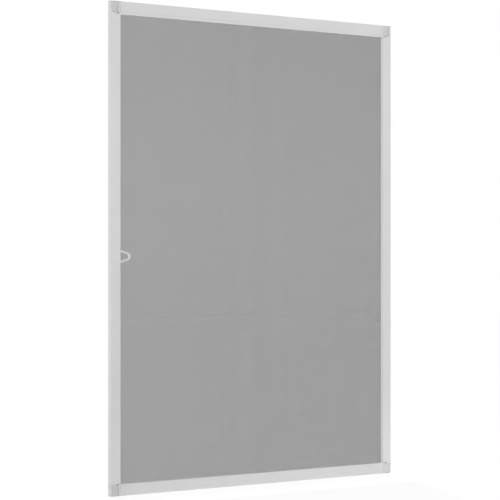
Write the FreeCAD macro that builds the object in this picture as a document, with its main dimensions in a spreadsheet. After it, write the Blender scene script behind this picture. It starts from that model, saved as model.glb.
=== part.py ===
import FreeCAD, Part

# Insect screen for a window: a tension frame of hollow aluminium profiles, four moulded corner
# connectors, glass-fibre screening held in a groove on the back by lengths of spline, and a pull tab.
#
# Frame of reference, in millimetres: X runs along the width, to the right seen from the front.
# Y runs through the depth, and the front faces -Y. Z is up. The origin is at the middle of the
# bottom edge and of the depth.
#
# Every profile and corner is drawn in a frame of its own: "in" is the distance from the frame's
# outer edge towards the opening, and "back" is the distance behind the front face.

import os
import re

import Sketcher
from FreeCAD import Placement, Rotation, Vector

SIZES = {
    "FrameWidth": (1000, "outer width of the frame"),
    "FrameHeight": (1200, "outer height of the frame"),
    "ProfileDepth": (11, "depth of every profile and corner"),
    "StileFace": (30.5, "width of the face of both stiles, and of the corner heads"),
    "TopRailFace": (32, "width of the face of the top rail, which has a wider inner lip"),
    "BottomRailFace": (28.5, "width of the face of the bottom rail, and height of the corner heads"),
    "Wall": (1.2, "wall thickness of the profiles"),
    "ChamberWidth": (15.8, "clear width of the outer chamber, which takes the corner legs"),
    "GrooveWidth": (4.8, "clear width of the spline groove"),
    "GrooveDepth": (3.3, "depth of the spline groove below the back of the lip"),
    "GrooveBead": (0.25, "height of the beads that grip the spline"),
    "LipStep": (3.4, "how far the back of the inner lip lies in front of the profile's back"),
    "TopLinePlace": (24.7, "distance of the fine line in the top rail from its outer edge"),
    "TopLineWidth": (0.8, "width of that line"),
    "TopLineDepth": (0.5, "depth of that line"),
    "HeadRound": (0.8, "rounding of the head's outer corner"),
    "PocketRim": (1.9, "rim around the pocket in the head's front"),
    "PocketDepth": (4.5, "depth of that pocket"),
    "PocketRound": (1.0, "rounding of the pocket's corners"),
    "LegLength": (45, "length of a corner leg beyond the head"),
    "LegClearance": (0.15, "gap between a corner leg and the chamber around it"),
    "LegChamfer": (1.5, "lead-in at the tip of a corner leg"),
    "RibSpacing": (13.5, "spacing of the moulded pockets along a leg"),
    "RibWall": (2.2, "walls and floor that the leg's pockets leave"),
    "NotchPlace": (21, "distance of the middle of each notch at a joint from the outer edge"),
    "NotchWidth": (11, "width of each notch along the joint line"),
    "NotchInHead": (1.7, "reach of the release notch into the head, at the joint with the stile"),
    "NotchInProfile": (1.5, "reach of the release notch into the stile"),
    "SlitInHead": (1.2, "reach of the slit into the head, at the joint with the rail"),
    "NotchDepth": (6.0, "depth of the release notch and of the slit"),
    "NotchWall": (2.2, "wall between a notch and the pocket"),
    "SplineDiameter": (3.5, "diameter of the spline"),
    "ScreenThickness": (0.3, "thickness of the screening"),
    "ScreenGap": (0.05, "gap between the screening and what it lies on"),
    "HemRise": (3.9, "height of the screening's trimmed edge above the groove floor"),
    "EndGap": (1.0, "gap between a corner head and the ends of the spline and the hem"),
    "RidgeWidth": (1.2, "width of the ridges that stand for the weave"),
    "RidgeHeight": (0.25, "height of those ridges"),
    "RidgeMargin": (1.5, "distance of the outermost ridges from the frame's inner edge"),
    "OpenCell": (60, "side of the square gap in each field of the weave"),
    "LowerWeftLine": (61.5, "height of the lower thick weft thread above the bottom edge"),
    "UpperWeftLine": (104.5, "height of the upper thick weft thread above the bottom edge"),
    "TabHeight": (581, "height of the pull tab's middle above the bottom edge"),
    "TabBase": (29.4, "height of the tab where it leaves the stile"),
    "TabNose": (13.6, "height of the tab's nose"),
    "TabLength": (34, "reach of the tab from the stile's inner edge"),
    "TabShoulder": (6.5, "length of the level stretch before the tab narrows"),
    "TabStrap": (4.3, "width of the tab's strap"),
    "TabNoseStrap": (7.6, "width of the strap across the nose"),
    "TabThickness": (1.2, "thickness of the tab"),
    "TabRecess": (1.8, "distance of the tab's front behind the frame's front face"),
    "TabRoot": (4.2, "reach of the tab's root into the stile's lip"),
    "TabEar": (1.2, "height of the ears that hold the root behind the slot"),
    "TabClearance": (0.2, "gap between the tab and its slot"),
    "TabRound": (3.5, "outer rounding of the tab's nose"),
}

# The weave is drawn as this many fields across and up, with one gap in each.
FIELDS_ACROSS = 10
FIELDS_UP = 12
RIB_POCKETS = 3

doc = FreeCAD.newDocument("WindowScreen")
sheet = doc.addObject("Spreadsheet::Sheet", "Sizes")
for row, (alias, (amount, note)) in enumerate(SIZES.items(), start=1):
    sheet.set(f"A{row}", alias)
    sheet.set(f"B{row}", str(amount))
    sheet.set(f"C{row}", note)
    sheet.setAlias(f"B{row}", alias)
doc.recompute()


def linked(text):
    """An expression in which every size's name refers to its cell in the sheet."""
    return re.sub(r"\b([A-Z]\w+)\b", lambda found: f"Sizes.{found.group(1)}", str(text))


def amount_of(text):
    """The present value of an expression, for code that needs a number."""
    return float(sheet.evalExpression(linked(text)))


# Places that several pieces share, as distances "in" and "back".
HEAD_WIDTH = "StileFace"
HEAD_HEIGHT = "BottomRailFace"
GROOVE_OUTER = "(2 * Wall + ChamberWidth)"
GROOVE_INNER = f"({GROOVE_OUTER} + GrooveWidth)"
GROOVE_MIDDLE = f"({GROOVE_OUTER} + GrooveWidth / 2)"
LIP_BACK = "(ProfileDepth - LipStep)"
GROOVE_FLOOR = f"({LIP_BACK} - GrooveDepth)"
SCREEN_FRONT = f"({LIP_BACK} + ScreenGap)"
SCREEN_BACK = f"({SCREEN_FRONT} + ScreenThickness)"
SPLINE_MIDDLE = f"({GROOVE_FLOOR} + 2 * ScreenGap + ScreenThickness + SplineDiameter / 2)"
HEM_IN = "(SplineDiameter / 2 + ScreenGap)"
FRONT = "(-ProfileDepth / 2)"

# Turns about Y that bring a piece drawn for the left side of the frame to each of the four sides.
TURN_LEFT = 0
TURN_BOTTOM = -90
TURN_RIGHT = 180
TURN_TOP = 90


def place(piece, x, y, z, turn=0):
    """Set a piece's place from sizes, turned about Y."""
    base = Vector(amount_of(x), amount_of(y), amount_of(z))
    piece.Placement = Placement(base, Rotation(Vector(0, 1, 0), turn))
    for axis, text in (("x", x), ("y", y), ("z", z)):
        piece.setExpression(f"Placement.Base.{axis}", linked(text))


def new_body(label):
    body = doc.addObject("PartDesign::Body", label)
    body.Label = label
    return body


def new_sketch(body, name, plane, depth="0"):
    """A sketch on one of the body's own origin planes, or set off from it by a depth along +Y or +Z."""
    sketch = body.newObject("Sketcher::SketchObject", name)
    support = [feature for feature in body.Origin.OriginFeatures if feature.Role == plane][0]
    sketch.AttachmentSupport = [(support, "")]
    sketch.MapMode = "FlatFace"
    if depth != "0":
        normal = "-1" if plane == "XZ_Plane" else "1"
        sketch.setExpression("AttachmentOffset.Base.z", linked(f"{normal} * ({depth})"))
    return sketch


def draw_outline(sketch, corners):
    """Draw a closed outline whose corners are held at the given expressions."""
    points = [Vector(amount_of(x), amount_of(y), 0) for x, y in corners]
    first = sketch.GeometryCount
    for index, point in enumerate(points):
        sketch.addGeometry(Part.LineSegment(point, points[(index + 1) % len(points)]), False)
    for index, (x, y) in enumerate(corners):
        line = first + index
        following = first + (index + 1) % len(points)
        sketch.addConstraint(Sketcher.Constraint("Coincident", line, 2, following, 1))
        for kind, text, value in (("DistanceX", x, points[index].x), ("DistanceY", y, points[index].y)):
            held = sketch.addConstraint(Sketcher.Constraint(kind, -1, 1, line, 1, value))
            sketch.setExpression(f"Constraints[{held}]", linked(text))


def draw_rectangle(sketch, x_low, y_low, x_high, y_high):
    draw_outline(sketch, [(x_low, y_low), (x_high, y_low), (x_high, y_high), (x_low, y_high)])


def add_pad(body, sketch, length, backwards=False):
    pad = body.newObject("PartDesign::Pad", f"{sketch.Name}Pad")
    pad.Profile = sketch
    pad.setExpression("Length", linked(length))
    pad.Reversed = backwards
    sketch.Visibility = False
    doc.recompute()
    return pad


def add_pocket(body, sketch, length, backwards=False):
    """Cut a sketch into the body, and make sure that it took material away."""
    before = body.Shape.Volume
    pocket = body.newObject("PartDesign::Pocket", f"{sketch.Name}Pocket")
    pocket.Profile = sketch
    pocket.setExpression("Length", linked(length))
    pocket.Reversed = backwards
    sketch.Visibility = False
    doc.recompute()
    if not body.Shape.Volume < before - 0.1:
        raise RuntimeError(f"{pocket.Label} cut nothing")
    return pocket


def edges_along(shape, direction, is_wanted):
    """Names of the straight edges along a direction whose middle passes a test."""
    names = []
    for index, edge in enumerate(shape.Edges, start=1):
        if not isinstance(edge.Curve, Part.Line):
            continue
        along = (edge.lastVertex().Point - edge.firstVertex().Point).normalize()
        if abs(along.dot(direction)) > 0.999 and is_wanted(edge.CenterOfMass):
            names.append(f"Edge{index}")
    return names


def add_rounding(body, kind, names, size):
    """Fillet or chamfer the named edges of the body's present tip."""
    feature = body.newObject(f"PartDesign::{kind}", f"{body.Name}{kind}{len(body.Group)}")
    feature.Base = (body.Group[-2], names)
    feature.setExpression("Radius" if kind == "Fillet" else "Size", linked(size))
    body.Tip = feature
    doc.recompute()
    return feature


def near(value, text):
    return abs(value - amount_of(text)) < 0.01


# Profiles


def profile_section(sketch, face, has_line):
    """The extruded section: outer skin with the spline groove open to the back, and two chambers."""
    outer_bead = f"({LIP_BACK} + 2 * GrooveBead)"
    inner_bead = f"({LIP_BACK} - 2 * GrooveBead)"
    line = []
    if has_line:
        line = [
            ("TopLinePlace - TopLineWidth / 2", "0"),
            ("TopLinePlace", "TopLineDepth"),
            ("TopLinePlace + TopLineWidth / 2", "0"),
        ]
    skin = [("0", "0")] + line + [
        (face, "0"),
        (face, LIP_BACK),
        (f"{GROOVE_INNER} - GrooveBead", LIP_BACK),
        (GROOVE_INNER, inner_bead),
        (GROOVE_INNER, GROOVE_FLOOR),
        (GROOVE_OUTER, GROOVE_FLOOR),
        (GROOVE_OUTER, outer_bead),
        (f"{GROOVE_OUTER} + GrooveBead", f"{outer_bead} + 2 * GrooveBead"),
        (GROOVE_OUTER, f"{outer_bead} + 4 * GrooveBead"),
        (GROOVE_OUTER, "ProfileDepth"),
        ("0", "ProfileDepth"),
    ]
    outer_chamber = [
        ("Wall", "Wall"),
        ("Wall + ChamberWidth", "Wall"),
        ("Wall + ChamberWidth", "ProfileDepth - Wall"),
        ("Wall", "ProfileDepth - Wall"),
    ]
    lip_chamber = [
        (GROOVE_OUTER, "Wall"),
        (f"{face} - Wall", "Wall"),
        (f"{face} - Wall", f"{LIP_BACK} - Wall"),
        (f"{GROOVE_INNER} + Wall", f"{LIP_BACK} - Wall"),
        (f"{GROOVE_INNER} + Wall", f"{GROOVE_FLOOR} - Wall"),
        (GROOVE_OUTER, f"{GROOVE_FLOOR} - Wall"),
    ]
    for outline in (skin, outer_chamber, lip_chamber):
        draw_outline(sketch, outline)


def profile(label, face, overall, head, has_line=False):
    """A length of profile between two corner heads."""
    body = new_body(label)
    section = new_sketch(body, f"{label}_section", "XY_Plane")
    profile_section(section, face, has_line)
    add_pad(body, section, f"{overall} - 2 * {head}")
    return body


def cut_release_notches(body):
    """Half a release notch in each end of a stile, through its front wall."""
    length = f"(FrameHeight - 2 * {HEAD_HEIGHT})"
    notches = new_sketch(body, f"{body.Name}_notches", "XZ_Plane")
    low = "NotchPlace - NotchWidth / 2"
    high = "NotchPlace + NotchWidth / 2"
    draw_rectangle(notches, low, "0", high, "NotchInProfile")
    draw_rectangle(notches, low, f"{length} - NotchInProfile", high, length)
    add_pocket(body, notches, "Wall")


def cut_tab_slot(body):
    """The slot in the side of the left stile's lip, through which the pull tab's root goes."""
    slot = new_sketch(body, "tab_slot", "YZ_Plane", "StileFace")
    middle = f"(TabHeight - {HEAD_HEIGHT})"
    half = "(TabBase / 2 + TabClearance)"
    draw_rectangle(
        slot,
        "TabRecess - TabClearance",
        f"{middle} - {half}",
        "TabRecess + TabThickness + TabClearance",
        f"{middle} + {half}",
    )
    add_pocket(body, slot, "Wall")


# Corners


def corner(label, across, up):
    """One moulding: a head of the given sides with a pocket, and a leg into each of the two profiles
    it joins. At the joint with the stile a release notch goes into the head and the leg, and at the
    joint with the rail there is a slit in the head. The pocket leaves a wall around both."""
    body = new_body(label)
    head = new_sketch(body, f"{label}_head", "XZ_Plane")
    draw_rectangle(head, "0", "0", across, up)
    add_pad(body, head, "ProfileDepth", backwards=True)

    leg_low = "(Wall + LegClearance)"
    leg_high = "(Wall + ChamberWidth - LegClearance)"
    leg_back = "(ProfileDepth - Wall - LegClearance)"
    tip_across = f"({across} + LegLength)"
    tip_up = f"({up} + LegLength)"
    legs = new_sketch(body, f"{label}_legs", "XZ_Plane", leg_low)
    draw_outline(
        legs,
        [
            (leg_low, leg_low),
            (tip_across, leg_low),
            (tip_across, leg_high),
            (leg_high, leg_high),
            (leg_high, tip_up),
            (leg_low, tip_up),
        ],
    )
    add_pad(body, legs, f"{leg_back} - {leg_low}", backwards=True)

    low = "(NotchPlace - NotchWidth / 2)"
    high = "(NotchPlace + NotchWidth / 2)"
    wall_low = f"({low} - NotchWall)"
    notch = ("NotchInHead", "NotchInProfile")
    slit = ("SlitInHead", "0")
    (up_in, up_out), (across_in, across_out) = (notch, slit) if across == HEAD_WIDTH else (slit, notch)
    wall_up = f"({up} - {up_in} - NotchWall)"
    wall_across = f"({across} - {across_in} - NotchWall)"
    recess = new_sketch(body, f"{label}_recess", "XZ_Plane")
    draw_outline(
        recess,
        [
            ("PocketRim", "PocketRim"),
            (f"{across} - PocketRim", "PocketRim"),
            (f"{across} - PocketRim", wall_low),
            (wall_across, wall_low),
            (wall_across, wall_up),
            (wall_low, wall_up),
            (wall_low, f"{up} - PocketRim"),
            ("PocketRim", f"{up} - PocketRim"),
        ],
    )
    add_pocket(body, recess, "PocketDepth")

    notches = new_sketch(body, f"{label}_notches", "XZ_Plane")
    draw_rectangle(notches, low, f"{up} - {up_in}", high, f"{up} + {up_out}")
    draw_rectangle(notches, f"{across} - {across_in}", low, f"{across} + {across_out}", high)
    add_pocket(body, notches, "NotchDepth")

    ribs = new_sketch(body, f"{label}_ribs", "XZ_Plane", leg_back)
    rib_low = f"{leg_low} + RibWall"
    rib_high = f"{leg_high} - RibWall"
    for index in range(RIB_POCKETS):
        start = f"RibWall + {index} * RibSpacing"
        end = f"{index + 1} * RibSpacing"
        draw_rectangle(ribs, f"{across} + {start}", rib_low, f"{across} + {end}", rib_high)
        draw_rectangle(ribs, rib_low, f"{up} + {start}", rib_high, f"{up} + {end}")
    add_pocket(body, ribs, f"{leg_back} - {leg_low} - RibWall", backwards=True)

    outer_edge = edges_along(body.Shape, Vector(0, 1, 0), lambda at: near(at.x, "0") and near(at.z, "0"))
    add_rounding(body, "Fillet", outer_edge, "HeadRound")

    def in_pocket_corner(at):
        on_side = near(at.x, "PocketRim") or near(at.x, f"{across} - PocketRim")
        on_end = near(at.z, "PocketRim") or near(at.z, f"{up} - PocketRim")
        return on_side and on_end

    add_rounding(body, "Fillet", edges_along(body.Shape, Vector(0, 1, 0), in_pocket_corner), "PocketRound")
    tips = edges_along(body.Shape, Vector(0, 0, 1), lambda at: near(at.x, tip_across))
    tips += edges_along(body.Shape, Vector(1, 0, 0), lambda at: near(at.z, tip_up))
    add_rounding(body, "Chamfer", tips, "LegChamfer")
    return body


# Screening and spline


def block(x_low, y_low, z_low, x_high, y_high, z_high):
    """A plain block between two corners."""
    return Part.makeBox(x_high - x_low, y_high - y_low, z_high - z_low, Vector(x_low, y_low, z_low))


def plate(outline, holes, y_low, y_high):
    """A plate parallel to the front, from an outline of (x, z) points with rectangular holes."""

    def wire(points):
        return Part.makePolygon([Vector(x, y_low, z) for x, z in points + points[:1]])

    face = Part.Face(wire(outline))
    gaps = [Part.Face(wire(hole)) for hole in holes]
    if gaps:
        face = face.cut(Part.makeCompound(gaps))
    return face.extrude(Vector(0, y_high - y_low, 0))


def rectangle(x_low, z_low, x_high, z_high):
    return [(x_low, z_low), (x_high, z_low), (x_high, z_high), (x_low, z_high)]


def hem(length):
    """The screening's folded edge, in the frame of a profile: down, under the spline and up."""
    middle = amount_of(GROOVE_MIDDLE)
    reach = amount_of(HEM_IN)
    thickness = amount_of("ScreenThickness")
    floor = amount_of(f"{GROOVE_FLOOR} + ScreenGap")
    back = amount_of(SCREEN_BACK)
    trimmed = amount_of(f"{GROOVE_FLOOR} + HemRise")
    start = amount_of("EndGap")
    end = length - start
    outer = middle - reach - thickness
    inner = middle + reach + thickness
    under = block(outer, floor, start, inner, floor + thickness, end)
    down = block(middle + reach, floor, start, inner, back, end)
    up = block(outer, floor, start, outer + thickness, trimmed, end)
    return under.fuse([down, up]).removeSplitter()


def screening():
    """One cut sheet: a thin wall with crossing ridges and gaps, and a hem in each groove."""
    half_width = amount_of("FrameWidth / 2")
    height = amount_of("FrameHeight")
    front = amount_of(f"{FRONT} + {SCREEN_FRONT}")
    back = amount_of(f"{FRONT} + {SCREEN_BACK}")
    hem_edge = amount_of(f"{GROOVE_MIDDLE} + {HEM_IN}")
    head = amount_of(f"{HEAD_HEIGHT} + EndGap")
    near_x = half_width - hem_edge
    far_x = half_width - amount_of(f"{HEAD_WIDTH} + EndGap")
    outline = [
        (-near_x, head), (-far_x, head), (-far_x, hem_edge), (far_x, hem_edge),
        (far_x, head), (near_x, head), (near_x, height - head), (far_x, height - head),
        (far_x, height - hem_edge), (-far_x, height - hem_edge), (-far_x, height - head),
        (-near_x, height - head),
    ]

    # The ridges keep clear of the frame, and the fields between them are all alike.
    margin = amount_of("RidgeMargin")
    left = -half_width + amount_of("StileFace") + margin
    bottom = amount_of("BottomRailFace") + margin
    top = height - amount_of("TopRailFace") - margin
    pitch_x = -2 * left / FIELDS_ACROSS
    pitch_z = (top - bottom) / FIELDS_UP
    half_gap = amount_of("OpenCell / 2")
    ridge = amount_of("RidgeWidth")
    gaps = []
    fields = []
    for across in range(FIELDS_ACROSS):
        for up in range(FIELDS_UP):
            x = left + (across + 0.5) * pitch_x
            z = bottom + (up + 0.5) * pitch_z
            field_x = (pitch_x - ridge) / 2
            field_z = (pitch_z - ridge) / 2
            gaps.append(rectangle(x - half_gap, z - half_gap, x + half_gap, z + half_gap))
            fields.append(rectangle(x - field_x, z - field_z, x + field_x, z + field_z))
    wall = plate(outline, gaps, front, back)
    ridge_front = front - amount_of("RidgeHeight")
    ridges = plate(rectangle(left, bottom, -left, top), fields, ridge_front, front)
    weft_lines = []
    for line in ("LowerWeftLine", "UpperWeftLine"):
        z = amount_of(line)
        weft_lines.append(block(left, ridge_front, z - ridge / 2, -left, front, z + ridge / 2))

    side_length = amount_of(f"FrameHeight - 2 * {HEAD_HEIGHT}")
    rail_length = amount_of(f"FrameWidth - 2 * {HEAD_WIDTH}")
    hems = []
    for turn, x, z, length in (
        (TURN_LEFT, "-FrameWidth / 2", HEAD_HEIGHT, side_length),
        (TURN_RIGHT, "FrameWidth / 2", f"FrameHeight - {HEAD_HEIGHT}", side_length),
        (TURN_BOTTOM, f"FrameWidth / 2 - {HEAD_WIDTH}", "0", rail_length),
        (TURN_TOP, f"{HEAD_WIDTH} - FrameWidth / 2", "FrameHeight", rail_length),
    ):
        edge = hem(length)
        corner_at = Vector(amount_of(x), amount_of(FRONT), amount_of(z))
        edge.Placement = Placement(corner_at, Rotation(Vector(0, 1, 0), turn))
        hems.append(edge)
    return wall.fuse([ridges] + weft_lines + hems).removeSplitter()


def spline(label, overall, head, x, z, turn):
    """A straight length of soft round cord, drawn along the groove between two corner heads."""
    cord = doc.addObject("Part::Cylinder", label)
    cord.Label = label
    cord.setExpression("Radius", linked("SplineDiameter / 2"))
    cord.setExpression("Height", linked(f"{overall} - 2 * {head} - 2 * EndGap"))
    place(cord, x, f"{FRONT} + {SPLINE_MIDDLE}", z, turn)
    return cord


# Pull tab


def pull_tab():
    """A flat loop: its root sits behind the slot in the stile's lip, and its strap narrows to a nose."""
    body = new_body("pull_tab")
    slope = "((TabBase - TabNose) / 2 / (TabLength - TabShoulder))"
    slant = f"sqrt(1 + {slope} ^ 2)"
    ear_end = "(-Wall - TabClearance)"
    half_base = "TabBase / 2"
    half_ear = "(TabBase / 2 + TabEar)"
    half_nose = "TabNose / 2"
    outer = [
        ("-TabRoot", f"-{half_ear}"),
        (ear_end, f"-{half_ear}"),
        (ear_end, f"-{half_base}"),
        ("TabShoulder", f"-{half_base}"),
        ("TabLength", f"-{half_nose}"),
        ("TabLength", half_nose),
        ("TabShoulder", half_base),
        (ear_end, half_base),
        (ear_end, half_ear),
        ("-TabRoot", half_ear),
    ]
    inner_half = "(TabBase / 2 - TabStrap)"
    inner_shoulder = f"(TabShoulder - TabStrap * ({slant} - 1) / {slope})"
    inner_nose = "(TabLength - TabNoseStrap)"
    nose_half = f"(TabBase / 2 - TabStrap * {slant} - {slope} * ({inner_nose} - TabShoulder))"
    inner = [
        ("0", f"-{inner_half}"),
        (inner_shoulder, f"-{inner_half}"),
        (inner_nose, f"-{nose_half}"),
        (inner_nose, nose_half),
        (inner_shoulder, inner_half),
        ("0", inner_half),
    ]
    loop = new_sketch(body, "tab_loop", "XZ_Plane")
    draw_outline(loop, outer)
    draw_outline(loop, inner)
    add_pad(body, loop, "TabThickness", backwards=True)
    outer_nose = edges_along(body.Shape, Vector(0, 1, 0), lambda at: near(at.x, "TabLength"))
    add_rounding(body, "Fillet", outer_nose, "TabRound")
    return body


left_stile = profile("left_stile", "StileFace", "FrameHeight", HEAD_HEIGHT)
cut_tab_slot(left_stile)
place(left_stile, "-FrameWidth / 2", FRONT, HEAD_HEIGHT, TURN_LEFT)
right_stile = profile("right_stile", "StileFace", "FrameHeight", HEAD_HEIGHT)
place(right_stile, "FrameWidth / 2", FRONT, f"FrameHeight - {HEAD_HEIGHT}", TURN_RIGHT)
for stile in (left_stile, right_stile):
    cut_release_notches(stile)
bottom_rail = profile("bottom_rail", "BottomRailFace", "FrameWidth", HEAD_WIDTH)
place(bottom_rail, f"FrameWidth / 2 - {HEAD_WIDTH}", FRONT, "0", TURN_BOTTOM)
top_rail = profile("top_rail", "TopRailFace", "FrameWidth", HEAD_WIDTH, has_line=True)
place(top_rail, f"{HEAD_WIDTH} - FrameWidth / 2", FRONT, "FrameHeight", TURN_TOP)
pieces = [left_stile, right_stile, bottom_rail, top_rail]

# Two of the corners are mirror images of the other two: a quarter turn swaps the head's sides.
for label, across, up, x, z, turn in (
    ("corner_bottom_left", HEAD_WIDTH, HEAD_HEIGHT, "-FrameWidth / 2", "0", TURN_LEFT),
    ("corner_bottom_right", HEAD_HEIGHT, HEAD_WIDTH, "FrameWidth / 2", "0", TURN_BOTTOM),
    ("corner_top_right", HEAD_WIDTH, HEAD_HEIGHT, "FrameWidth / 2", "FrameHeight", TURN_RIGHT),
    ("corner_top_left", HEAD_HEIGHT, HEAD_WIDTH, "-FrameWidth / 2", "FrameHeight", TURN_TOP),
):
    moulding = corner(label, across, up)
    place(moulding, x, FRONT, z, turn)
    pieces.append(moulding)

upright_start = f"({HEAD_HEIGHT} + EndGap)"
level_start = f"({HEAD_WIDTH} + EndGap - FrameWidth / 2)"
far_groove = f"(FrameWidth / 2 - {GROOVE_MIDDLE})"
for label, overall, head, x, z, turn in (
    ("spline_left", "FrameHeight", HEAD_HEIGHT, f"-{far_groove}", upright_start, TURN_LEFT),
    ("spline_right", "FrameHeight", HEAD_HEIGHT, far_groove, upright_start, TURN_LEFT),
    ("spline_bottom", "FrameWidth", HEAD_WIDTH, level_start, GROOVE_MIDDLE, TURN_TOP),
    ("spline_top", "FrameWidth", HEAD_WIDTH, level_start, f"FrameHeight - {GROOVE_MIDDLE}", TURN_TOP),
):
    pieces.append(spline(label, overall, head, x, z, turn))

insect_mesh = doc.addObject("Part::Feature", "insect_mesh")
insect_mesh.Label = "insect_mesh"
insect_mesh.Shape = screening()
pieces.append(insect_mesh)

tab = pull_tab()
place(tab, "StileFace - FrameWidth / 2", f"{FRONT} + TabRecess", "TabHeight")
pieces.append(tab)

doc.recompute()
for item in doc.Objects:
    if "Invalid" in item.State or "Error" in item.State:
        raise RuntimeError(f"{item.Label} failed: {item.State}")
for piece in pieces:
    if piece.Shape.isNull() or not piece.Shape.isValid() or len(piece.Shape.Solids) != 1:
        raise RuntimeError(f"{piece.Label} has no sound solid")

os.makedirs("parts", exist_ok=True)
for piece in pieces:
    piece.Shape.exportStep(f"parts/{piece.Label}.step")
    box = piece.Shape.BoundBox
    print(
        f"{piece.Label}: volume {piece.Shape.Volume:.0f}, "
        f"x {box.XMin:.2f} to {box.XMax:.2f}, y {box.YMin:.2f} to {box.YMax:.2f}, "
        f"z {box.ZMin:.2f} to {box.ZMax:.2f}"
    )
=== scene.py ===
# The looks of a fixed insect screen for a window: coated aluminium profiles, moulded corners,
# dark screening made of real yarns, and a soft pull tab. Lengths are in metres.

import math

import bmesh
import bpy
import numpy as np
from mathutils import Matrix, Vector


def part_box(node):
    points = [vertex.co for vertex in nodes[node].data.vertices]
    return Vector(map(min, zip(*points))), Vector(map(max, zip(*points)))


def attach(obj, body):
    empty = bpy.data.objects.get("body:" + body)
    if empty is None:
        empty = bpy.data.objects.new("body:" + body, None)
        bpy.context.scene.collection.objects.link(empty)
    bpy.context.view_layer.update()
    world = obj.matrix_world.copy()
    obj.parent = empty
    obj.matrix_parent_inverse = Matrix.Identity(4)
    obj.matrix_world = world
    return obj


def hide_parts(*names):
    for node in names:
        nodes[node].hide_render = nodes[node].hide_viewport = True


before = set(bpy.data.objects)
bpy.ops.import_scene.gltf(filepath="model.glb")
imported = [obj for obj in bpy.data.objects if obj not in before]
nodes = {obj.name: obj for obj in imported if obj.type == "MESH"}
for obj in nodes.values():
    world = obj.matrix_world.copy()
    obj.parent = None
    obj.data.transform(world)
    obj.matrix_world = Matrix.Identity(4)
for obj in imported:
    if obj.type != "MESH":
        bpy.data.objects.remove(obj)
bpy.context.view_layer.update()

MM = 0.001
BODY = "root"
PROFILES = ("left_stile", "right_stile", "top_rail", "bottom_rail")
CORNERS = ("corner_bottom_left", "corner_bottom_right", "corner_top_left", "corner_top_right")
SPLINES = ("spline_left", "spline_right", "spline_top", "spline_bottom")

# The photograph's view: a level camera far off to the left, about half way up the frame. The
# picture is square, and its horizon lies a little below the middle.
CAMERA_PLACE = Vector((-4.6420, -4.7049, 0.5772))
CAMERA_YAW = math.radians(-44.465)
CAMERA_LENS = 186.35
SENSOR_WIDTH = 36.0
PICTURE_SIDE_PX = 500
HORIZON_BELOW_MIDDLE_PX = 8.04
CLIP_END = 500.0

# Screening: coated yarns, fused where they cross, with the warp a little in front. Its place is
# counted from the frame's front, and in the groove it runs a hem gap away from the spline.
YARN_PITCH = 1.2 * MM
YARN_WIDTH = 0.433 * MM
YARN_THICKNESS = 0.36 * MM
YARN_SIDES = 6
LAYER_OFFSET = 0.035 * MM
SHEET_PLACE = 7.87 * MM
HEM_GAP = 0.2 * MM
HEM_RISE = 3.5 * MM
HEM_THICKNESS = 0.34 * MM
THICK_WEFTS = ((61.5 * MM, 0.53 * MM), (104.5 * MM, 0.57 * MM))
YARN_SHARP_FROM = math.radians(75)

# Moulded pieces: their edges are rounded, as they leave the mould.
CORNER_EDGE = 0.25 * MM
TAB_EDGE = 0.3 * MM
EDGE_SEGMENTS = 2
WELD_DISTANCE = 0.002 * MM
FLAT_WITHIN = math.radians(1)
ROUNDED_FROM = math.radians(40)
SHARP_FROM = math.radians(35)

# Where most values of a noise texture lie.
NOISE_RANGE = (0.3, 0.7)

# Light: shares of the level at which a white surface renders as white.
AMBIENT = 0.20
KEY_LIGHT = 0.30
SIDE_LIGHT = 0.56
FRONT_LIGHT = 0.36
BACK_LIGHT = 0.40
FAR_FILL = 0.45
LOW_FILL = 0.55
SUN_ANGLE = math.radians(7)
MIDDLE = Vector((0.0, 0.0, 0.6))

# Floor: it ends before the horizon, where its edge would draw a line behind the screening.
FLOOR_REACH = 14.0
FLOOR_WHITE = 0.90
FLOOR_SEEN_WHITE = 0.26
FLOOR_GLOW = 0.878


# Node helpers


def new_material(name):
    material = bpy.data.materials.new(name)
    material.use_nodes = True
    tree = material.node_tree
    tree.nodes.clear()
    return material, tree


def add_node(tree, kind, **settings):
    """A node with its inputs and properties set by name."""
    node = tree.nodes.new(kind)
    for key, value in settings.items():
        if key in node.inputs:
            node.inputs[key].default_value = value
        else:
            setattr(node, key, value)
    return node


def grey(level):
    return (level, level, level, 1)


def noise(tree, coordinate, scale, detail=2.0, roughness=0.5):
    texture = add_node(tree, "ShaderNodeTexNoise", Scale=scale, Detail=detail, Roughness=roughness)
    tree.links.new(coordinate, texture.inputs["Vector"])
    return texture.outputs["Fac"]


def spread(tree, value, low, high):
    """Map a noise value to the range from low to high."""
    ranged = add_node(tree, "ShaderNodeMapRange")
    ranged.inputs["From Min"].default_value = NOISE_RANGE[0]
    ranged.inputs["From Max"].default_value = NOISE_RANGE[1]
    ranged.inputs["To Min"].default_value = low
    ranged.inputs["To Max"].default_value = high
    tree.links.new(value, ranged.inputs["Value"])
    return ranged.outputs["Result"]


def stretched(tree, coordinate, factors):
    mapping = add_node(tree, "ShaderNodeMapping")
    mapping.inputs["Scale"].default_value = factors
    tree.links.new(coordinate, mapping.inputs["Vector"])
    return mapping.outputs["Vector"]


def tinted(tree, value, dark, light):
    """A colour between a dark and a light one, by a value from 0 to 1."""
    mix = add_node(tree, "ShaderNodeMix", data_type="RGBA")
    mix.inputs["A"].default_value = (*dark, 1)
    mix.inputs["B"].default_value = (*light, 1)
    tree.links.new(value, mix.inputs["Factor"])
    return next(socket for socket in mix.outputs if socket.type == "RGBA")


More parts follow.
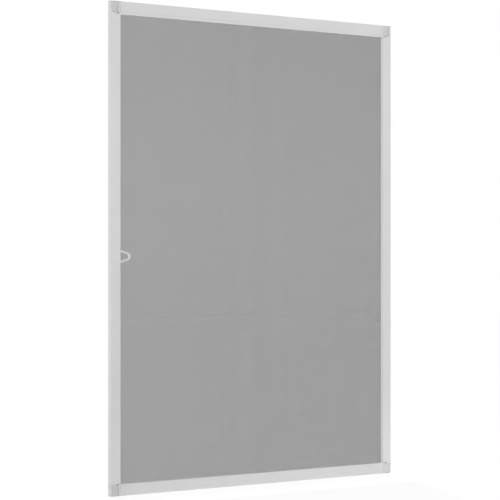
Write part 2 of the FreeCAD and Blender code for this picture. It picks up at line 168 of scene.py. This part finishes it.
def bumped(tree, heights, strength, distance):
    """A bump whose height is the sum of the given (value, weight) pairs."""
    total = None
    for value, weight in heights:
        scaled = add_node(tree, "ShaderNodeMath", operation="MULTIPLY")
        tree.links.new(value, scaled.inputs[0])
        scaled.inputs[1].default_value = weight
        if total is None:
            total = scaled.outputs[0]
            continue
        summed = add_node(tree, "ShaderNodeMath", operation="ADD")
        tree.links.new(total, summed.inputs[0])
        tree.links.new(scaled.outputs[0], summed.inputs[1])
        total = summed.outputs[0]
    bump = add_node(tree, "ShaderNodeBump", Strength=strength, Distance=distance)
    tree.links.new(total, bump.inputs["Height"])
    return bump.outputs["Normal"]


def principled(tree, colour=None, roughness=None, normal=None, **settings):
    shader = add_node(tree, "ShaderNodeBsdfPrincipled", **settings)
    for value, socket in ((colour, "Base Color"), (roughness, "Roughness"), (normal, "Normal")):
        if value is not None:
            tree.links.new(value, shader.inputs[socket])
    output = add_node(tree, "ShaderNodeOutputMaterial")
    tree.links.new(shader.outputs["BSDF"], output.inputs["Surface"])
    return shader


# Materials


def coated_aluminium(name, along):
    """White powder coat: a faint orange peel, fainter draw lines along the profile, soft cloudiness."""
    material, tree = new_material(name)
    place = add_node(tree, "ShaderNodeTexCoord").outputs["Object"]
    cloud = noise(tree, place, 6.0, 3.0)
    peel = noise(tree, place, 900.0, 2.0)
    squeeze = [700.0, 700.0, 700.0]
    squeeze["XYZ".index(along)] = 3.0
    lines = noise(tree, stretched(tree, place, squeeze), 1.0, 2.0)
    colour = tinted(tree, spread(tree, cloud, 0.0, 1.0), (0.590, 0.590, 0.590), (0.615, 0.615, 0.615))
    roughness = spread(tree, peel, 0.40, 0.50)
    normal = bumped(tree, [(peel, 1.0), (lines, 0.6)], 0.12, 0.00008)
    principled(tree, colour, roughness, normal, IOR=1.5)
    return material


def moulded_plastic(name, dark, light, rough=(0.48, 0.58), grain=2600.0):
    """Moulded plastic with a fine eroded grain."""
    material, tree = new_material(name)
    place = add_node(tree, "ShaderNodeTexCoord").outputs["Object"]
    cloud = noise(tree, place, 30.0, 2.0)
    fine = noise(tree, place, grain, 3.0, 0.6)
    colour = tinted(tree, spread(tree, cloud, 0.0, 1.0), dark, light)
    normal = bumped(tree, [(fine, 1.0)], 0.18, 0.00006)
    principled(tree, colour, spread(tree, fine, *rough), normal, IOR=1.46)
    return material


def coated_yarn():
    """Dark vinyl-coated glass yarn, a little paler where the coating is thin."""
    material, tree = new_material("screening_yarn")
    place = add_node(tree, "ShaderNodeTexCoord").outputs["Object"]
    patches = noise(tree, place, 420.0, 2.0)
    colour = tinted(tree, spread(tree, patches, 0.0, 1.0), (0.012, 0.012, 0.013), (0.022, 0.022, 0.024))
    fibres = noise(tree, place, 9000.0, 1.0)
    normal = bumped(tree, [(fibres, 1.0)], 0.3, 0.00002)
    principled(tree, colour, spread(tree, patches, 0.45, 0.6), normal, IOR=1.4)
    return material


def ribbed_spline():
    """Soft dark grey cord with fine ribs around it."""
    material, tree = new_material("spline_cord")
    place = add_node(tree, "ShaderNodeTexCoord").outputs["Object"]
    grain = noise(tree, place, 700.0, 2.0)
    colour = tinted(tree, spread(tree, grain, 0.0, 1.0), (0.085, 0.085, 0.088), (0.12, 0.12, 0.122))
    ribs = add_node(tree, "ShaderNodeTexWave", Scale=260.0, bands_direction="DIAGONAL")
    tree.links.new(place, ribs.inputs["Vector"])
    normal = bumped(tree, [(ribs.outputs["Fac"], 1.0), (grain, 0.4)], 0.4, 0.0001)
    principled(tree, colour, spread(tree, grain, 0.55, 0.7), normal, IOR=1.48)
    return material


def assign(obj, material):
    obj.data.materials.clear()
    obj.data.materials.append(material)


# Pieces


def new_piece(name, mesh, replaced):
    """A mesh object that rides with the frame and stands for a CAD node."""
    obj = bpy.data.objects.new(name, mesh)
    bpy.context.scene.collection.objects.link(obj)
    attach(obj, BODY)
    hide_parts(replaced)
    return obj


def softened(node, name, width):
    """A copy of a CAD piece with its sharp edges rounded to that width."""
    shape = bmesh.new()
    shape.from_mesh(nodes[node].data)
    bmesh.ops.remove_doubles(shape, verts=shape.verts, dist=WELD_DISTANCE)
    bmesh.ops.dissolve_limit(
        shape, angle_limit=FLAT_WITHIN, verts=shape.verts, edges=shape.edges, delimit={"NORMAL"}
    )
    mesh = bpy.data.meshes.new(name)
    shape.to_mesh(mesh)
    shape.free()
    piece = new_piece(name, mesh, node)
    bevel = piece.modifiers.new("edges", "BEVEL")
    bevel.width = width
    bevel.segments = EDGE_SEGMENTS
    bevel.limit_method = "ANGLE"
    bevel.angle_limit = ROUNDED_FROM
    bevel.harden_normals = True
    evaluated = piece.evaluated_get(bpy.context.evaluated_depsgraph_get())
    rounded = bpy.data.meshes.new_from_object(evaluated)
    piece.modifiers.clear()
    piece.data = rounded
    rounded.name = name
    rounded.shade_smooth()
    rounded.set_sharp_from_angle(angle=SHARP_FROM)
    return piece


def yarn_rings(path, across, width, thickness):
    """The points of one yarn: a ring, mitred, at each point of its path. Across is the direction
    in the cloth at right angles to the yarn, and the path stays in one plane."""
    path = np.array(path)
    steps = np.diff(path, axis=0)
    steps /= np.linalg.norm(steps, axis=1)[:, None]
    first = np.vstack([steps[:1], steps])
    second = np.vstack([steps, steps[-1:]])
    along = first + second
    along /= np.linalg.norm(along, axis=1)[:, None]
    normal = np.cross(along, across)
    mitre = 1.0 / np.clip((along * second).sum(axis=1), 0.5, 1.0)
    turn = (np.arange(YARN_SIDES) + 0.5) * 2 * math.pi / YARN_SIDES
    flats = math.cos(math.pi / YARN_SIDES)
    wide = np.cos(turn)[None, :, None] * np.array(across)[None, None, :] * width / flats / 2
    depth = normal * (mitre * np.broadcast_to(thickness, mitre.shape) / 2)[:, None]
    thick = np.sin(turn)[None, :, None] * depth[:, None, :]
    return (path[:, None, :] + wide + thick).reshape(-1, 3)


def yarn_faces(rings):
    """Side quads and two caps of a yarn with that many rings."""
    faces = []
    for ring in range(rings - 1):
        low = ring * YARN_SIDES
        for side in range(YARN_SIDES):
            other = (side + 1) % YARN_SIDES
            faces.append((low + side, low + other, low + YARN_SIDES + other, low + YARN_SIDES + side))
    faces.append(tuple(reversed(range(YARN_SIDES))))
    faces.append(tuple((rings - 1) * YARN_SIDES + side for side in range(YARN_SIDES)))
    return faces


def screening():
    """The whole cut sheet as yarns: each runs over the inner lip, down into the groove, under the
    spline and up to its trimmed end. The CAD screening and splines give the places."""
    low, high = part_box("insect_mesh")
    left_low, left_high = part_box("spline_left")
    bottom_low, bottom_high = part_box("spline_bottom")
    sheet_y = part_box("left_stile")[0].y + SHEET_PLACE
    floor_y = left_low.y - HEM_GAP
    trim_y = left_low.y + HEM_RISE
    middle_x = (low.x + high.x) / 2
    fold_x = left_high.x + HEM_GAP
    outer_x = left_low.x - HEM_GAP
    fold_z = bottom_high.z + HEM_GAP
    outer_z = bottom_low.z - HEM_GAP
    top_fold_z = high.z - (fold_z - low.z)
    top_outer_z = high.z - (outer_z - low.z)
    right_fold_x = 2 * middle_x - fold_x
    right_outer_x = 2 * middle_x - outer_x
    hem_start_z = left_low.z
    hem_end_z = left_high.z
    hem_start_x = bottom_low.x
    hem_end_x = bottom_high.x

    points = []
    faces = []

    # A hemmed yarn is squeezed where it lies in the groove, at the first and last three points.
    squeezed = [HEM_THICKNESS] * 3 + [YARN_THICKNESS] * 2 + [HEM_THICKNESS] * 3

    def lay(path, across, width=YARN_WIDTH, thickness=YARN_THICKNESS):
        start = sum(len(block) for block in points)
        points.append(yarn_rings(path, across, width, thickness))
        faces.extend(tuple(start + index for index in face) for face in yarn_faces(len(path)))

    def hemmed(plain, low_fold, low_outer, high_fold, high_outer, offset):
        """A path across the sheet with both ends folded into the grooves."""
        y = sheet_y + offset
        groove_y = floor_y - offset
        return [
            plain(low_outer - offset, trim_y), plain(low_outer - offset, groove_y),
            plain(low_fold + offset, groove_y), plain(low_fold + offset, y),
            plain(high_fold - offset, y), plain(high_fold - offset, groove_y),
            plain(high_outer + offset, groove_y), plain(high_outer + offset, trim_y),
        ]

    x_axis = (1.0, 0.0, 0.0)
    y_axis = (0.0, 1.0, 0.0)
    z_axis = (0.0, 0.0, 1.0)
    across_count = int((right_fold_x - fold_x) / YARN_PITCH)
    up_count = int((top_fold_z - fold_z) / YARN_PITCH)
    first_x = middle_x - (across_count - 1) / 2 * YARN_PITCH
    first_z = (fold_z + top_fold_z) / 2 - (up_count - 1) / 2 * YARN_PITCH

    # Warp yarns stand upright, in front of the weft ones.
    for index in range(across_count):
        x = first_x + index * YARN_PITCH
        if hem_start_x < x < hem_end_x:
            path = hemmed(
                lambda z, y: (x, y, z), fold_z, outer_z, top_fold_z, top_outer_z, -LAYER_OFFSET
            )
            lay(path, x_axis, thickness=squeezed)
        else:
            y = sheet_y - LAYER_OFFSET
            lay([(x, y, hem_start_z), (x, y, hem_end_z)], x_axis)

    # Weft yarns lie level. The one nearest each thick weft is drawn wider.
    widths = {}
    for height, width in THICK_WEFTS:
        widths[round((height - first_z) / YARN_PITCH)] = width
    for index in range(up_count):
        z = first_z + index * YARN_PITCH
        width = widths.get(index, YARN_WIDTH)
        if hem_start_z < z < hem_end_z:
            path = hemmed(
                lambda x, y: (x, y, z), fold_x, outer_x, right_fold_x, right_outer_x, LAYER_OFFSET
            )
            lay(path, z_axis, width, squeezed)
        else:
            y = sheet_y + LAYER_OFFSET
            lay([(hem_start_x, y, z), (hem_end_x, y, z)], z_axis, width)

    # Yarns that run along inside each hem: down its inner side, under the spline and up again.
    down = sheet_y - floor_y
    under = fold_x - outer_x
    hem = down + under + trim_y - floor_y
    along_hem = []
    for index in range(1, int(hem / YARN_PITCH)):
        run = index * YARN_PITCH
        if run < down:
            along_hem.append((0.0, sheet_y - run, y_axis))
        elif run < down + under:
            along_hem.append((run - down, floor_y, None))
        else:
            along_hem.append((under, floor_y + run - down - under, y_axis))
    for inward, y, across in along_hem:
        for fold, sign in ((fold_x, -1), (right_fold_x, 1)):
            x = fold + sign * inward
            path = [(x, y, hem_start_z), (x, y, hem_end_z)]
            lay(path, across or x_axis, HEM_THICKNESS, HEM_THICKNESS)
        for fold, sign in ((fold_z, -1), (top_fold_z, 1)):
            z = fold + sign * inward
            path = [(hem_start_x, y, z), (hem_end_x, y, z)]
            lay(path, across or z_axis, HEM_THICKNESS, HEM_THICKNESS)

    mesh = bpy.data.meshes.new("screening")
    mesh.from_pydata(np.vstack(points).tolist(), [], faces)
    mesh.update()
    mesh.shade_smooth()
    mesh.set_sharp_from_angle(angle=YARN_SHARP_FROM)
    piece = new_piece("screening", mesh, "insect_mesh")

    # The yarns stop at the hems' ends, so the sheet laid flat is a rectangle with its four corners cut
    # out.
    return piece


# Setting


def add_camera():
    camera = bpy.data.objects.new("camera", bpy.data.cameras.new("camera"))
    bpy.context.scene.collection.objects.link(camera)
    camera.location = CAMERA_PLACE
    camera.rotation_euler = (math.radians(90), 0.0, CAMERA_YAW)
    camera.data.sensor_width = SENSOR_WIDTH
    camera.data.lens = CAMERA_LENS
    camera.data.shift_y = HORIZON_BELOW_MIDDLE_PX / PICTURE_SIDE_PX
    camera.data.clip_end = CLIP_END
    bpy.context.scene.camera = camera


def add_lamp(name, kind, place, aim):
    lamp = bpy.data.lights.new(name, kind)
    lamp_object = bpy.data.objects.new(name, lamp)
    bpy.context.scene.collection.objects.link(lamp_object)
    lamp_object.location = place
    lamp_object.rotation_euler = (Vector(aim) - Vector(place)).to_track_quat("-Z", "Y").to_euler()
    return lamp_object


def add_far_lamp(name, place, share):
    """A large far lamp. A share of 1 lights a white surface that faces it up to plain white."""
    lamp = add_lamp(name, "SUN", place, MIDDLE).data
    lamp.angle = SUN_ANGLE
    lamp.energy = share * math.pi


def add_softbox(name, place, aim, width, height, share):
    """A near lamp, not seen itself. A share of 1 lights a white surface that faces it, at its aim,
    up to plain white, if the lamp is small beside its distance. A long near strip gives less."""
    softbox = add_lamp(name, "AREA", place, aim)
    softbox.visible_camera = False
    softbox.data.shape = "RECTANGLE"
    softbox.data.size = width
    softbox.data.size_y = height
    softbox.data.energy = share * math.pi**2 * (Vector(aim) - Vector(place)).length_squared


def shown_directly(tree):
    """1 for the rays that look at the setting: the camera's, and those of gloss and glass."""
    path = add_node(tree, "ShaderNodeLightPath")
    total = path.outputs["Is Camera Ray"]
    for name in ("Is Glossy Ray", "Is Transmission Ray"):
        larger = add_node(tree, "ShaderNodeMath", operation="MAXIMUM")
        tree.links.new(total, larger.inputs[0])
        tree.links.new(path.outputs[name], larger.inputs[1])
        total = larger.outputs[0]
    return total


def split_by_ray(tree, output_kind, lit, seen):
    """Give one shader to the rays that look at the setting, and the other to all the rest."""
    mix = add_node(tree, "ShaderNodeMixShader")
    output = add_node(tree, output_kind)
    tree.links.new(shown_directly(tree), mix.inputs[0])
    tree.links.new(lit.outputs[0], mix.inputs[1])
    tree.links.new(seen.outputs[0], mix.inputs[2])
    tree.links.new(mix.outputs[0], output.inputs["Surface"])


def add_world():
    """White where it is seen, and a level soft light elsewhere."""
    world = bpy.data.worlds.new("studio")
    bpy.context.scene.world = world
    world.use_nodes = True
    tree = world.node_tree
    tree.nodes.clear()
    lit = add_node(tree, "ShaderNodeBackground", Color=grey(1), Strength=AMBIENT)
    seen = add_node(tree, "ShaderNodeBackground", Color=grey(1), Strength=1.0)
    split_by_ray(tree, "ShaderNodeOutputWorld", lit, seen)


def add_floor():
    """A plain white floor. Where it is seen it glows a little, so that it meets the white
    backdrop, and the object's shadow stays on it."""
    mesh = bpy.data.meshes.new("floor")
    corners = [(x * FLOOR_REACH, y * FLOOR_REACH, 0) for x, y in ((-1, -1), (1, -1), (1, 1), (-1, 1))]
    mesh.from_pydata(corners, [], [(0, 1, 2, 3)])
    floor = bpy.data.objects.new("floor", mesh)
    bpy.context.scene.collection.objects.link(floor)
    material, tree = new_material("floor")
    plain = add_node(tree, "ShaderNodeBsdfDiffuse", Color=grey(FLOOR_WHITE))
    shadowed = add_node(tree, "ShaderNodeBsdfDiffuse", Color=grey(FLOOR_SEEN_WHITE))
    glow = add_node(tree, "ShaderNodeEmission", Color=grey(1), Strength=FLOOR_GLOW)
    both = add_node(tree, "ShaderNodeAddShader")
    tree.links.new(shadowed.outputs[0], both.inputs[0])
    tree.links.new(glow.outputs[0], both.inputs[1])
    split_by_ray(tree, "ShaderNodeOutputMaterial", plain, both)
    assign(floor, material)


# Looks of each piece

for node in PROFILES:
    assign(nodes[node], coated_aluminium(f"coat_{node}", "Z" if "stile" in node else "X"))

corner_plastic = moulded_plastic("corner_plastic", (0.585, 0.585, 0.585), (0.605, 0.605, 0.605))
for node in CORNERS:
    assign(softened(node, f"{node}_moulding", CORNER_EDGE), corner_plastic)

spline_material = ribbed_spline()
for node in SPLINES:
    assign(nodes[node], spline_material)

assign(screening(), coated_yarn())

tab_plastic = moulded_plastic(
    "tab_plastic", (0.64, 0.64, 0.64), (0.67, 0.67, 0.67), rough=(0.38, 0.46), grain=1800.0
)
assign(softened("pull_tab", "pull_tab_loop", TAB_EDGE), tab_plastic)


# Camera, backdrop and lamps

add_camera()
add_world()
add_floor()

# The side light is for the left edge. The back light and the far fill are for the back.
add_far_lamp("side_light", (-9.0, -1.2, 0.9), SIDE_LIGHT)
add_far_lamp("back_light", (4.0, 6.0, 5.5), BACK_LIGHT)
add_far_lamp("far_fill", (1.0, 9.0, 1.0), FAR_FILL)

# The key and front lights stand on the camera's side and reach into the corner pockets.
add_softbox("key_light", (-7.2, -7.2, 0.36), MIDDLE, 4.0, 0.6, KEY_LIGHT)
add_softbox("front_light", (2.6, -4.1, 1.15), MIDDLE, 2.0, 1.4, FRONT_LIGHT)

# A strip low in front of the bottom rail, where the floor gives least light back.
add_softbox("low_fill", (0.17, -0.22, 0.04), (0.17, 0.0, 0.0), 1.3, 0.05, LOW_FILL)

bpy.context.scene.view_settings.view_transform = "Standard"
